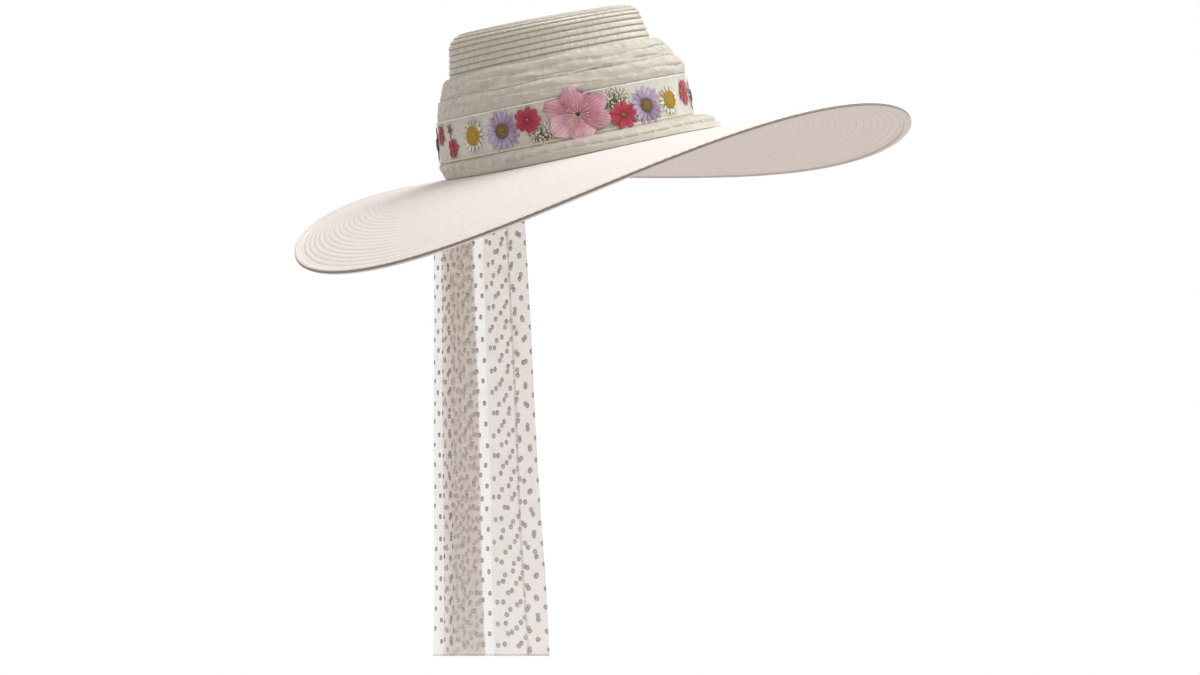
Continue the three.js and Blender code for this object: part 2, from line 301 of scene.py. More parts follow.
# Bleached wheat straw, split, plaited and sewn: ivory on the ridges and brown-grey in the seams,
# with a slanted grain of separate straws and a dull shine. The brown-grey in the seams, and the
# slight darkening between the straws, are painted shade in the grooves.
def straw_plait(name, crest, straw, seam, seam_share, plait_depth, roughness, gloss):
    material, tree, shader = start_material(name, Roughness=roughness, Specular_IOR_Level=gloss)
    coords = add_node(tree, "UVMap", {}, uv_map="rows")
    parts = add_node(tree, "SeparateXYZ", {0: coords})
    across = add_node(tree, "Math", {0: parts.outputs["Y"], 1: 0.5}, operation="PINGPONG")
    up_ridge = add_node(
        tree, "MapRange",
        {"Value": across, "From Min": 0.0, "From Max": seam_share},
        interpolation_type="SMOOTHSTEP",
    )
    slanted = add_node(
        tree, "Mapping",
        {"Vector": coords, "Rotation": (0, 0, PLAIT_TURN), "Scale": (1, ROW_WIDTH, 1)},
    )
    # The wave node makes 20 / (2 pi) bands in each unit, and a unit here is a millimetre.
    plait = add_node(
        tree, "TexWave",
        {"Vector": slanted, "Scale": math.tau / 20 / PLAIT_WIDTH, "Distortion": 1.2, "Detail": 1.0},
        bands_direction="X",
    )
    mottle = add_node(
        tree, "TexNoise", {"Vector": slanted, "Scale": 1 / MOTTLE_SIZE, "Detail": 4.0, "Roughness": 0.62}
    )
    tone = add_node(tree, "MapRange", {"Value": mottle, "From Min": 0.36, "From Max": 0.62})
    straw_mix = add_node(
        tree, "Mix", {"Factor": tone, "A": linear(straw), "B": linear(crest)}, data_type="RGBA"
    )
    grain = add_node(tree, "MapRange", {"Value": plait.outputs["Fac"], "To Min": 0.82, "To Max": 1.0})
    # Painted shade: the colour turns to the seam colour in the grooves between rows, and darkens a little
    # between the straws.
    shade = add_node(tree, "Math", {0: grain, 1: up_ridge}, operation="MULTIPLY")
    colour = add_node(
        tree, "Mix", {"Factor": shade, "A": linear(seam), "B": straw_mix}, data_type="RGBA"
    )
    bump = add_node(
        tree, "Bump", {"Height": plait.outputs["Fac"], "Strength": 0.7, "Distance": plait_depth / 1000}
    )
    feed(tree, shader, {"Base Color": colour, "Normal": bump})
    return material


# The crown's plait is darker than the brim's partly as painted shade, for the shade on the crown's wall.
crown_straw = straw_plait("bleached_straw_plait", "#dad2c4", "#c7bcac", "#a99d8b", 0.08, 0.35, 0.24, 1.0)

whole_line = SHOULDER_FRONT - SHOULDER_RADIUS + SHOULDER_RADIUS * math.pi / 2 + SHOULDER_HEIGHT
row_count = round(whole_line / ROW_WIDTH)
fitted_row = whole_line / row_count
outer_line = []
for row in range(row_count):
    for share in OUTER_SHARES:
        radius, height, turn = crown_line((row + share) * fitted_row)
        raised = ridge(share, RIDGE_DEPTH, RIDGE_RISE, LAP)
        if row + share == 0:
            raised = 0
        out_radius = radius + raised * math.sin(turn)
        outer_line.append((out_radius, height + raised * math.cos(turn), row + share))
inner_line = []
for row in range(row_count):
    for share in INNER_SHARES:
        radius, height, turn = crown_line((row + share) * fitted_row)
        sunk = WALL - (0 if row + share == 0 else INNER_LEAN * share)
        in_radius = radius - sunk * math.sin(turn)
        inner_line.append((in_radius, height - sunk * math.cos(turn), row + share))
foot = [(FOOT_FRONT, -FOOT_DROP, row_count), (FOOT_FRONT - WALL, -FOOT_DROP, row_count)]
crown_skin = spun_skin(outer_line + foot + inner_line[::-1], CROWN_STEPS, False)
shape_skin(crown_skin, crown_place, FOOT_FRONT)
straw_crown = make_piece(crown_skin, "straw_crown", [crown_straw])
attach(straw_crown, "root")
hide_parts("crown")

# Brim
# A broad brim of the same plait in finer rows, pressed almost smooth, set forward of the crown.
# It is sewn to the crown's foot and dips at both sides, and its outer rows show most.
GAP = 0.3
BRIM_RADIUS = 237
BRIM_FORWARD = 27.4
BRIM_OVAL = 0.0075
BRIM_DROOP = 25.3
BRIM_SADDLE = 23.5
BRIM_TWIST = -2.5
STRAIGHT_SHARE = 0.55
EDGE_WIDTH = 3.2
BRIM_ROWS = 31
BRIM_STEPS = 240
BRIM_RIDGE = 0.2
RIM_RIDGE = 0.4
UNDER_RIDGE = 1.1
RIM_ROWS = 5
BRIM_LAP = 0.1
BRIM_SHARES = (0, 0.14, 0.5, 0.86)
BRIM_MAP_RADIUS = 180


def edge_point(angle, radius, above):
    """A point of the line along the brim's edge."""
    saddle = BRIM_SADDLE * math.cos(2 * angle) + BRIM_TWIST * math.sin(2 * angle)
    front = radius * (1 + BRIM_OVAL)
    side = radius * (1 - BRIM_OVAL)
    return oval(angle, front, side, saddle - BRIM_DROOP + above, -BRIM_FORWARD)


def brim_point(angle, share, depth):
    """A point of the brim, from 0 at the head opening to 1 at the edge braid."""
    opening = oval(angle, FOOT_FRONT - WALL, FOOT_SIDE - WALL, -GAP)
    edge = edge_point(angle, BRIM_RADIUS - EDGE_WIDTH - GAP, 0)
    fall = STRAIGHT_SHARE * share + (1 - STRAIGHT_SHARE) * share * share
    point = opening.lerp(edge, share)
    point.z = mix(opening.z, edge.z, fall) - depth
    return point


def brim_place(angle, radius, height, row):
    """Where a point of the flat round brim lies on the shaped one."""
    return brim_point(angle, row / BRIM_ROWS, -height)


# The brim's plait is paler and rosier than the crown's, and pressing has closed its seams. The crown's
# being darker is partly painted shade on its wall.
brim_straw = straw_plait("pressed_straw_plait", "#f1e6e3", "#e9ddda", "#d3c8c1", 0.07, 0.16, 0.62, 0.5)

brim_line = []
for row in range(BRIM_ROWS):
    depth = RIM_RIDGE if row >= BRIM_ROWS - RIM_ROWS else BRIM_RIDGE
    for share in BRIM_SHARES:
        brim_line.append((FOOT_FRONT + row + share, ridge(share, depth, 0, BRIM_LAP), row + share))
brim_line.append((FOOT_FRONT + BRIM_ROWS, -RIM_RIDGE, BRIM_ROWS))
under_line = [(radius, -WALL - UNDER_RIDGE * raised, row) for radius, raised, row in reversed(brim_line)]
brim_skin = spun_skin(brim_line + under_line, BRIM_STEPS, True)
shape_skin(brim_skin, brim_place, BRIM_MAP_RADIUS)
straw_brim = make_piece(brim_skin, "straw_brim", [brim_straw])
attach(straw_brim, "root")
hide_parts("brim")

# Brim edge
# The last row of plait, doubled over the edge and sewn through, a little thicker than the brim.
# Its straws stand on edge, and it shows as a darker cord with a pale lip inside it; the cord's taupe is
# painted shade on the edge of the fold.
EDGE_STEPS = 960
EDGE_STRANDS = 240
STRAND_DEPTH = 0.11
STRAND_TURN = 1.4
STRANDS_ABOVE = -1
PAINTED_SHADE_FROM = 3.1
edge_section = [
    ("lip over the brim", -2.6, 0.35),
    ("lip over the brim", -1.2, 0.75),
    ("seam", -0.1, 0.35),
    ("top of the fold", 0.9, 0.85),
    ("top of the fold", 2.0, 0.8),
    ("top of the fold", 2.8, 0.3),
    ("outer edge", 3.15, -0.2),
    ("outer edge", 3.2, -1.0),
    ("outer edge", 3.15, -1.8),
    ("bottom of the fold", 2.8, -2.3),
    ("bottom of the fold", 2.0, -2.8),
    ("bottom of the fold", 0.6, -2.9),
    ("lip under the brim", -1.2, -2.75),
    ("lip under the brim", -2.6, -2.4),
]


def edge_place(angle, radius, height, row):
    """Where a point of the round edge lies, the upper ones with the strands' small waves."""
    if height > STRANDS_ABOVE:
        height += STRAND_DEPTH * math.sin(EDGE_STRANDS * angle + row * STRAND_TURN)
    return edge_point(angle, BRIM_RADIUS - EDGE_WIDTH - FOOT_FRONT + radius, height)


# The outermost faces of the same straw are painted taupe where the flat is ivory: painted shade on the
# edge of the fold.
edge_straw = straw_plait("shaded_straw_edge", "#b4a49a", "#9c8c83", "#7e6f67", 0.3, 0.5, 0.6, 0.5)

edge_line = [(FOOT_FRONT + out, above, k * 0.5) for k, (where, out, above) in enumerate(edge_section)]
edge_skin = spun_skin(edge_line, EDGE_STEPS, True)
# The outermost faces take the taupe finish: painted shade on the edge of the fold.
for face in edge_skin.faces:
    face.material_index = int(face.calc_center_median().to_2d().length > FOOT_FRONT + PAINTED_SHADE_FROM)
shape_skin(edge_skin, edge_place, BRIM_RADIUS)
edge_braid = make_piece(edge_skin, "edge_braid", [brim_straw, edge_straw])
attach(edge_braid, "root")
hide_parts("brim_edge")

# Tulle wrap
# One long strip of spotted tulle, folded into layers and wound round the crown in two tiers.
# It is tucked in at its top edge, pressed flat under the clear band, and its foot lies on the brim.
THIN_SIDE = math.radians(225)
WRAP_STEPS = 330
WRAP_THICKNESS = 0.45
WRAP_REST = 0.1
SMOOTH_STEPS = 3
CURVE_PULL = 0.8
BRIM_REACH = 8
SPOT_RADIUS = 2.6
SPOT_FLATNESS = 0.045
SPOT_LIFT = 0.1
SPOT_PITCH = 15.8
SPOT_ROUND = 12.5
SPOT_MARGIN = 8
SPOT_CURVE = 95
CLOUD_SIZE = 14.3
HIDDEN_SPOT_PITCH = 9
TINT_SIZE = 30.3
WRINKLE_LENGTH, WRINKLE_WIDTH = 28.6, 5.88
WRAP_NET, TUFT_NET = 1.5, 0.6
# How the folds stray by smooth noise: how many times it turns on the way round, how fast it changes
# from row to row, where it starts, and how many millimetres it makes of each one of a fold's wander.
SWAY_UP = (2.6, 0.11, 0, 2.4)
SWELL_OUT = (4.3, 0.2, 9, 1.5)
PUCKER_OUT = (13, 0.14, 4, 0.4)
# Height of each fold, how far it stands off the crown at the thin side and at the thick side,
# and how far it wanders up and down on its way round.
wrap_folds = [
    ("turned in", 69.5, 0.7, 0.9, 0.3),
    ("turned in", 72.6, 0.9, 1.3, 0.6),
    ("top edge", 73.7, 1.7, 2.6, 0.6),
    ("top edge", 72.9, 3.0, 4.8, 0.6),
    ("upper tier", 71.0, 4.2, 7.4, 0.6),
    ("upper tier", 67.8, 5.4, 9.4, 0.8),
    ("crease", 66.2, 5.4, 9.5, 1.1),
    ("upper tier", 64.9, 6.2, 10.2, 1.3),
    ("upper tier", 61.5, 6.8, 11.3, 1.0),
    ("crease", 60.3, 6.6, 11.2, 1.0),
    ("upper tier", 59.3, 6.9, 11.8, 1.0),
    ("tucked in", 56.8, 6.4, 11.2, 0.8),
    ("tucked in", 55.2, 5.0, 9.6, 0.8),
    ("lip of the lower tier", 57.0, 6.9, 12.0, 0.8),
    ("lip of the lower tier", 57.2, 7.9, 13.4, 0.8),
    ("lower tier", 55.2, 8.5, 14.9, 0.9),
    ("lower tier", 52.4, 8.9, 15.8, 1.1),
    ("crease", 50.9, 8.7, 15.4, 1.1),
    ("lower tier", 49.5, 9.2, 15.7, 1.2),
    ("lower tier", 46.4, 9.4, 15.2, 0.7),
    ("under the band's edge", 44.2, 9.4, 14.2, 0.2),
    ("under the band's edge", 42.6, 9.1, 12.2, 0.1),
    ("pressed", 38.0, 8.7, 11.3, 0.0),
    ("pressed", 30.0, 8.1, 9.4, 0.0),
    ("pressed", 21.0, 7.3, 7.4, 0.0),
    ("pressed", 13.5, 6.6, 5.5, 0.0),
    ("foot under the band", 11.2, 7.0, 7.6, 0.2),
    ("foot", 10.2, 8.1, 14.6, 0.3),
    ("foot", 8.4, 8.0, 18.6, 0.5),
    ("foot", 6.4, 7.0, 20.6, 0.6),
    ("crease", 5.2, 5.9, 20.4, 0.6),
    ("foot", 4.2, 5.8, 22.6, 0.5),
    ("foot on the brim", 1.7, 4.4, 24.2, 0.2),
    ("foot on the brim", 0.35, 3.0, 24.6, 0.0),
    ("turned under", 0.1, 1.6, 20.0, 0.0),
    ("turned under", 0.1, 0.8, 8.0, 0.0),
]


def through(before, first, second, after, share):
    """A smooth curve's value between first and second."""
    rise = (second - before) / 2
    fall = (after - first) / 2
    blend = share * share * (3 - 2 * share)
    ease = share * (1 - share)
    return mix(first, second, blend) + ease * ((1 - share) * rise - share * fall) * CURVE_PULL


def thickness(angle, thin, thick):
    """How far the wrap stands off the crown at an angle, between its thin and its thick side."""
    return mix(thin, thick, 0.5 - 0.5 * math.cos(angle - THIN_SIDE))


def brim_height(angle, out):
    """How high the brim lies, so many millimetres out from the crown."""
    width = (brim_point(angle, 1, 0) - brim_point(angle, 0, 0)).to_2d().length
    return brim_point(angle, (WALL + out) / width, 0).z


fold_rows = []
for k in range(len(wrap_folds) - 1):
    near = [wrap_folds[min(max(k + step, 0), len(wrap_folds) - 1)][1:] for step in (-1, 0, 1, 2)]
    for step in range(SMOOTH_STEPS):
        fold_rows.append([through(*column, step / SMOOTH_STEPS) for column in zip(*near)])
fold_rows.append(list(wrap_folds[-1][1:]))
fold_lengths = [0.0]
for first, second in zip(fold_rows, fold_rows[1:]):
    middle_run = (second[1] + second[2] - first[1] - first[2]) / 2
    fold_lengths.append(fold_lengths[-1] + math.hypot(second[0] - first[0], middle_run))


def stray(angle, row, fineness, drift, start, reach):
    """How far smooth noise shifts the wrap at a place on a row."""
    around = Vector((math.sin(angle), math.cos(angle), 0))
    return reach * noise.noise(around * fineness + Vector((0, 0, drift * row + start)))


def wrap_point(angle, row, lift=0.0):
    """A point of the wrap: row counts the smooth rows from its tucked top edge to its foot."""
    first = min(int(row), len(fold_rows) - 2)
    height, thin, thick, wander = (
        mix(a, b, row - first) for a, b in zip(fold_rows[first], fold_rows[first + 1])
    )
    height += wander * stray(angle, row, *SWAY_UP)
    puffed = wander * (stray(angle, row, *SWELL_OUT) + stray(angle, row, *PUCKER_OUT))
    out = thickness(angle, thin, thick) + puffed + lift
    point = crown_point(angle, height, out)
    settled = min(1.0, max(0.0, 1.25 - height / BRIM_REACH)) ** 2
    point.z += settled * (brim_height(angle, out) + WRAP_REST)
    return point


def wrap_place(angle, radius, height, row):
    """Where a point of the wrap's plain tube lies, whose rows go down by one unit each."""
    return wrap_point(angle, -height)


# Fine polyester tulle, many layers deep: a soft milky white, with painted shade from the folds and
# spots of the layers beneath, cloudy and darker in the net's holes, and wrinkled along its length.
# The real net's holes are about a millimetre, and are drawn half as wide again, or they wouldn't show.
def tulle_layers(name, thread, shaded_hollow, net_pitch):
    material, tree, shader = start_material(
        name, Roughness=0.85, Sheen_Weight=0.3, Sheen_Roughness=0.5,
        Subsurface_Weight=0.3, Subsurface_Scale=0.003, Subsurface_Radius=(1.0, 1.0, 1.0),
    )
    coords = add_node(tree, "UVMap", {}, uv_map="rows")
    net = add_node(
        tree, "TexVoronoi",
        {"Vector": coords, "Scale": 1 / net_pitch, "Randomness": 0.35},
        feature="DISTANCE_TO_EDGE",
    )
    strand = add_node(tree, "MapRange", {"Value": net, "From Min": 0.03, "From Max": 0.3})
    clouds = add_node(tree, "TexNoise", {"Vector": coords, "Scale": 1 / CLOUD_SIZE, "Detail": 4.0})
    cloudy = add_node(tree, "MapRange", {"Value": clouds, "From Min": 0.35, "From Max": 0.65})
    hidden_spots = add_node(
        tree, "TexVoronoi",
        {"Vector": coords, "Scale": 1 / HIDDEN_SPOT_PITCH, "Randomness": 0.7, "Smoothness": 0.2},
        feature="SMOOTH_F1",
    )
    hidden = add_node(
        tree, "MapRange",
        {"Value": hidden_spots, "From Min": 0.12, "From Max": 0.3, "To Min": 1.0, "To Max": 0.0},
        interpolation_type="SMOOTHSTEP",
    )
    # Painted shade: the colour darkens towards the shaded hollow colour in the net's holes, in clouds and
    # at the hidden spots, where the layers beneath lie in shade.
    net_depth = add_node(tree, "Math", {0: strand, 1: 0.25}, operation="MULTIPLY")
    spot_depth = add_node(tree, "Math", {0: hidden, 1: 0.25, 2: net_depth}, operation="MULTIPLY_ADD")
    depth = add_node(
        tree, "Math", {0: cloudy, 1: 0.4, 2: spot_depth}, operation="MULTIPLY_ADD", use_clamp=True
    )
    white = add_node(
        tree, "Mix", {"Factor": depth, "A": linear(thread), "B": linear(shaded_hollow)}, data_type="RGBA"
    )
    patches = add_node(tree, "TexNoise", {"Vector": coords, "Scale": 1 / TINT_SIZE, "Detail": 1.0})
    tint = add_node(tree, "ValToRGB", {"Fac": patches})
    tint.color_ramp.elements[0].color = linear("#fff9f7")
    tint.color_ramp.elements[0].position = 0.36
    tint.color_ramp.elements[1].color = linear("#fafaf4")
    tint.color_ramp.elements[1].position = 0.62
    colour = add_node(
        tree, "Mix", {"Factor": 1.0, "A": white, "B": tint}, data_type="RGBA", blend_type="MULTIPLY"
    )
    drawn_out = add_node(
        tree, "Mapping", {"Vector": coords, "Scale": (1 / WRINKLE_LENGTH, 1 / WRINKLE_WIDTH, 1)}
    )
    wrinkles = add_node(tree, "TexNoise", {"Vector": drawn_out, "Scale": 1.0, "Detail": 2.5})
    wrinkled = add_node(tree, "Bump", {"Height": wrinkles, "Strength": 0.2, "Distance": 0.002})
    bump = add_node(
        tree, "Bump",
        {"Height": strand, "Strength": 0.35, "Distance": 0.0002, "Normal": wrinkled},
        invert=True,
    )
    feed(tree, shader, {"Base Color": colour, "Normal": bump})
    return material


wrap_tulle = tulle_layers("layered_tulle", "#d3cac1", "#b5aaa1", WRAP_NET)
# The spots are tufts of the same thread, whiter and closer than the net they are sewn on.
spot_thread = tulle_layers("tufted_thread", "#e2dbd5", "#d0c7c0", TUFT_NET)

wrap_line = [(FOOT_FRONT, -row, fold_lengths[row]) for row in range(len(fold_rows))]
wrap_skin = spun_skin(wrap_line, WRAP_STEPS, False)
shape_skin(wrap_skin, wrap_place, FOOT_FRONT)
bmesh.ops.solidify(wrap_skin, geom=wrap_skin.faces[:], thickness=WRAP_THICKNESS)
folded_tulle = make_piece(wrap_skin, "folded_tulle", [wrap_tulle])
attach(folded_tulle, "root")
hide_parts("tulle_wrap")


def row_at(length):
    """The wrap's row at so many millimetres of cloth from its tucked edge."""
    after = next(k for k, reached in enumerate(fold_lengths) if reached > length)
    start = fold_lengths[after - 1]
    return after - 1 + (length - start) / (fold_lengths[after] - start)


def face_outwards(skin):
    """Turns each closed shell that the hat's curve has mirrored, so that its faces point outwards."""
    skin.normal_update()
    left = set(skin.faces)
    while left:
        shell = [left.pop()]
        for face in shell:
            near = {other for edge in face.edges for other in edge.link_faces} & left
            left -= near
            shell += near
        start = shell[0].verts[0].co
        inside = sum(
            face.calc_area() * face.normal.dot(face.calc_center_median() - start) for face in shell
        )
        if inside < 0:
            bmesh.ops.reverse_faces(skin, faces=shell)


spot_skin = bmesh.new()
spots_round = round(math.tau * FOOT_FRONT / SPOT_ROUND)
spot_rows = int((fold_lengths[-1] - SPOT_MARGIN) / (SPOT_PITCH / 2))
for level in range(1, spot_rows):
    for k in range(spots_round):
        middle_angle = math.tau * (k + 0.5 * (level % 2)) / spots_round
        made = bmesh.ops.create_icosphere(spot_skin, subdivisions=2, radius=SPOT_RADIUS)
        for vert in made["verts"]:
            length = level * SPOT_PITCH / 2 + vert.co.y
            out = SPOT_LIFT + SPOT_FLATNESS * vert.co.z
            vert.co = wrap_point(middle_angle + vert.co.x / SPOT_CURVE, row_at(length), out)
face_outwards(spot_skin)
spot_skin.loops.layers.uv.new("rows")
wrap_spots = make_piece(spot_skin, "wrap_spots", [spot_thread])
# Flat faces keep a thin spot evenly lit, where smooth ones would round it off like a bead.
for polygon in wrap_spots.data.polygons:
    polygon.use_smooth = False
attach(wrap_spots, "root")

# Flower band
# A strip of clear film, wound over the wrap, that the pressed flowers are laid on.
# Its top edge is heat-sealed to a bright bead, and its bottom edge is bound with a fine cord.
BAND_THICKNESS = 0.9
BAND_STEPS = 200
BEAD_FROM = 42.2
CORD_TO = 13.7
CORD_TWIST = 1.6
CORD_TURN = math.radians(35)
RIPPLE_SIZE = 12.5
SEAL_GRAIN = 1.43
# The pressed wrap under the band, near its foot and at its top: the height, and how far it stands
# off the crown at the thin side and at the thick side.
PRESSED_LOW = (11.5, 6.6, 5.4)
PRESSED_HIGH = (43, 9.3, 12.6)
# The band's outline from the inside of its top edge down and back up outside: what is there, the
# height, and how far out it lies.
band_section = [
    ("bead", 42.7, -0.9),
    ("film", 42.1, -0.6),
    ("film", 27.0, -0.6),
    ("film", 13.6, -0.6),
    ("cord", 12.9, -0.9),
    ("cord", 11.9, -0.7),
    ("cord", 11.8, 0.1),
    ("cord", 12.6, 0.4),
    ("cord", 13.4, 0.2),
    ("film", 13.6, -0.2),
    ("film", 27.0, -0.2),
    ("film", 42.1, -0.2),
    ("bead", 42.3, 0.15),
    ("bead", 42.7, 0.2),
    ("bead", 43.0, -0.1),
    ("bead", 43.0, -0.6),
]


def band_point(angle, height, out):
    """A point on the outside of the flower band, or further out."""
    share = (height - PRESSED_LOW[0]) / (PRESSED_HIGH[0] - PRESSED_LOW[0])
    low = thickness(angle, *PRESSED_LOW[1:])
    high = thickness(angle, *PRESSED_HIGH[1:])
    return crown_point(angle, height, mix(low, high, share) + GAP + BAND_THICKNESS + out)


def band_place(angle, radius, height, row):
    """Where a point of the plain round band lies on the hat."""
    return band_point(angle, height, radius - FOOT_FRONT)


# Soft clear vinyl film: a little milky and rippled, with a strong gloss, so the tulle shows dimly.
clear_film, tree, shader = start_material("clear_film", Roughness=0.12, Alpha=0.36, Specular_IOR_Level=1.0)
coords = add_node(tree, "UVMap", {}, uv_map="rows")
ripple = add_node(tree, "TexNoise", {"Vector": coords, "Scale": 1 / RIPPLE_SIZE, "Detail": 2.0})
milk = add_node(
    tree, "Mix", {"Factor": ripple, "A": linear("#fbf8f0"), "B": linear("#edebe2")}, data_type="RGBA"
)
bump = add_node(tree, "Bump", {"Height": ripple, "Strength": 0.4, "Distance": 0.0008})
feed(tree, shader, {"Base Color": milk, "Normal": bump})

# The sealed edge of the film is melted thick, so it is white; its white and the flecks of the shine noise
# are partly painted highlight, the glint along the film's top edge.
sealed_edge, tree, shader = start_material("sealed_film_edge", Roughness=0.2, Alpha=0.9)
coords = add_node(tree, "TexCoord", {})
shine = add_node(
    tree, "TexNoise", {"Vector": coords.outputs["Object"], "Scale": 1000 / SEAL_GRAIN, "Detail": 2.0}
)
white = add_node(
    tree, "Mix", {"Factor": shine, "A": linear("#fbfbf7"), "B": linear("#e9e8e0")}, data_type="RGBA"
)
feed(tree, shader, {"Base Color": white})

# Waxed thread, cream with a brown twist in it.
waxed_cord, tree, shader = start_material("waxed_cord", Roughness=0.5)
coords = add_node(tree, "UVMap", {}, uv_map="rows")
slanted = add_node(tree, "Mapping", {"Vector": coords, "Rotation": (0, 0, CORD_TURN)})
twist = add_node(
    tree, "TexWave", {"Vector": slanted, "Scale": math.tau / 20 / CORD_TWIST}, bands_direction="X"
)
twisted = add_node(
    tree, "Mix",
    {"Factor": twist.outputs["Fac"], "A": linear("#b3a38a"), "B": linear("#eae2cf")},
    data_type="RGBA",
)
feed(tree, shader, {"Base Color": twisted})

band_line = [(FOOT_FRONT + out, height, height) for what, height, out in band_section]
band_skin = spun_skin(band_line, BAND_STEPS, True)
for face in band_skin.faces:
    heights = [vert.co.z for vert in face.verts]
    if max(heights) > BEAD_FROM:
        face.material_index = 1
    elif max(heights) < CORD_TO:
        face.material_index = 2
shape_skin(band_skin, band_place, FOOT_FRONT)
clear_band = make_piece(band_skin, "clear_band", [clear_film, sealed_edge, waxed_cord])
# The light goes through the film, so the tulle and the flowers aren't shaded by it.
clear_band.visible_shadow = False
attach(clear_band, "root")
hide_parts("flower_band")

# Pressed flowers
# Real blossoms, pressed flat and dried, and laid one by one on the clear band.
# Each has its own petals, thin as paper, and its own eye, stamens or stalks in relief.
PETAL_SKIN = 0.14
PETAL_LIFT = 0.2
LAYER_STEP = 1.05
PETAL_SCALE = 1.04
PETAL_LEVEL = 0.15
PETAL_OVERLAP = 0.16
PETAL_CUP = 0.16
PETAL_CRUMPLE = 0.12
# How much petals differ, as shares of the flower's radius or of their own size.
REACH_STRAY = 0.1
WIDTH_STRAY = 0.15
AIM_STRAY = 0.12
PETAL_BEND = 0.06
PETAL_FRILL = 0.03
TIP_NARROWING = 0.22
BROWN_SIZE = 11.76
GOLDEN_TURN = math.pi * (3 - math.sqrt(5))
EYE_HEIGHT = 0.9
EYE_LIFT = 0.25
EYE_MIDDLE = 0.45
# The spray of blossoms stands on a fan of stalks that fork about half way.
LACE_BLOSSOMS = 58
LACE_REACH = 0.93
LACE_FLATNESS = 0.62
LACE_FOOT = 0.55
LACE_FORK = 0.45
LACE_STALK, LACE_TWIG, LACE_BUD = 0.24, 0.15, 0.36
BLOSSOM_RADIUS = 1.3
BLOSSOM_CUP = 0.25
BLOSSOM_NICK = 0.48
STAMENS = 17
STAMEN_REACH, STAMEN_STRAY = 0.36, 0.08
STAMEN_THICK, ANTHER_RADIUS = 0.17, 0.5
# The petals at the bottom of the larkspur have faded.
FADED_PETALS = (3, 4)

# Where each flower lies on the band: angle round the hat, height and radius, how far it is turned,
# and whether it lies over its neighbours. The rows from 41 degrees on are on the side away from
# the camera, and repeat the kinds that show.
flower_rows = [
    ("red_verbena", -121, 33, 9, 10, 0),
    ("green_sprig", -108.5, 36, 4.8, 0, 0),
    ("red_verbena", -107, 21.5, 8.8, 40, 0),
    ("white_daisy", -91.3, 27.7, 12.2, 0, 0),
    ("lavender_aster", -75.1, 26.8, 15.4, 0, 0),
    ("red_verbena", -62.2, 31.2, 11.6, 25, 1),
    ("lace_spray", -57.2, 20.6, 12.5, 0, 0),
    ("pink_larkspur", -40.6, 28, 25.2, 30, 1),
    ("lace_spray", -23.3, 34.4, 13.6, 0, 0),
    ("red_verbena", -20.9, 21.4, 12, 55, 1),
    ("lavender_aster", -7.9, 25, 14.6, 0, 0),
    ("white_daisy", 7.5, 25.6, 11.6, 0, 0),
    ("red_verbena", 24, 29.7, 11.6, 20, 0),
    ("lavender_aster", 41, 26, 13, 0, 0),
    ("lace_spray", 56, 33, 11.5, 0, 0),
    ("white_daisy", 70, 26, 11.6, 0, 0),
    ("red_verbena", 82.5, 30, 10.3, 25, 0),
    ("lace_spray", 94, 21, 11.5, 0, 0),
    ("pink_larkspur", 113, 28, 20, 0, 0),
    ("lace_spray", 132, 34, 11.5, 0, 0),
    ("red_verbena", 144, 24, 10.3, 50, 0),
    ("lavender_aster", 159, 27, 13, 0, 0),
    ("white_daisy", 175, 27, 11.6, 0, 0),
    ("red_verbena", 189, 30, 10.3, 10, 0),
    ("lace_spray", 203, 24, 11.5, 0, 0),
    ("lavender_aster", 220, 27, 13, 0, 0),
]

# Petal outlines: how many petals, then as shares of the flower's radius where a petal starts and its
# half width, how narrow its foot is, how round its tip is, how deep the tip is notched, and the
# height over the width of the whole flower.
petal_kinds = {
    "red_verbena": (5, 0.04, 0.49, 0.14, 0.24, 0.42, 0.92),
    "lavender_aster": (16, 0.3, 0.13, 0.5, 0.4, 0.0, 1),
    "white_daisy": (15, 0.36, 0.13, 0.55, 0.4, 0.12, 1),
    "pink_larkspur": (6, 0.05, 0.44, 0.16, 0.34, 0.0, 0.8),
    "green_sprig": (5, 0.1, 0.24, 0.2, 0.8, 0.0, 0.9),
}
# Eyes of florets: their share of the flower's radius, how many florets, and a floret's radius.
flower_eyes = {"white_daisy": (0.6, 70, 0.68), "lavender_aster": (0.38, 52, 0.62)}


def wobble(*where):
    """A repeatable value from -1 to 1."""
    spot = Vector(where + (0.37,) * (3 - len(where)))
    return max(-1.0, min(1.0, 1.8 * noise.noise(spot * 1.731 + Vector((0.5, 0.21, 0.83)))))


def thicken(skin, depth):
    """Gives flat petals a second face below the first, and closed rims."""
    made = bmesh.ops.extrude_face_region(skin, geom=skin.faces[:], use_keep_orig=True)
    lower = [part for part in made["geom"] if isinstance(part, bmesh.types.BMVert)]
    bmesh.ops.translate(skin, verts=lower, vec=(0, 0, -depth))
    bmesh.ops.recalc_face_normals(skin, faces=skin.faces)


def paint(made, finish):
    """Gives the faces of a shape that was just made one of the piece's finishes, by number."""
    for face in {face for vert in made["verts"] for face in vert.link_faces}:
        face.material_index = finish


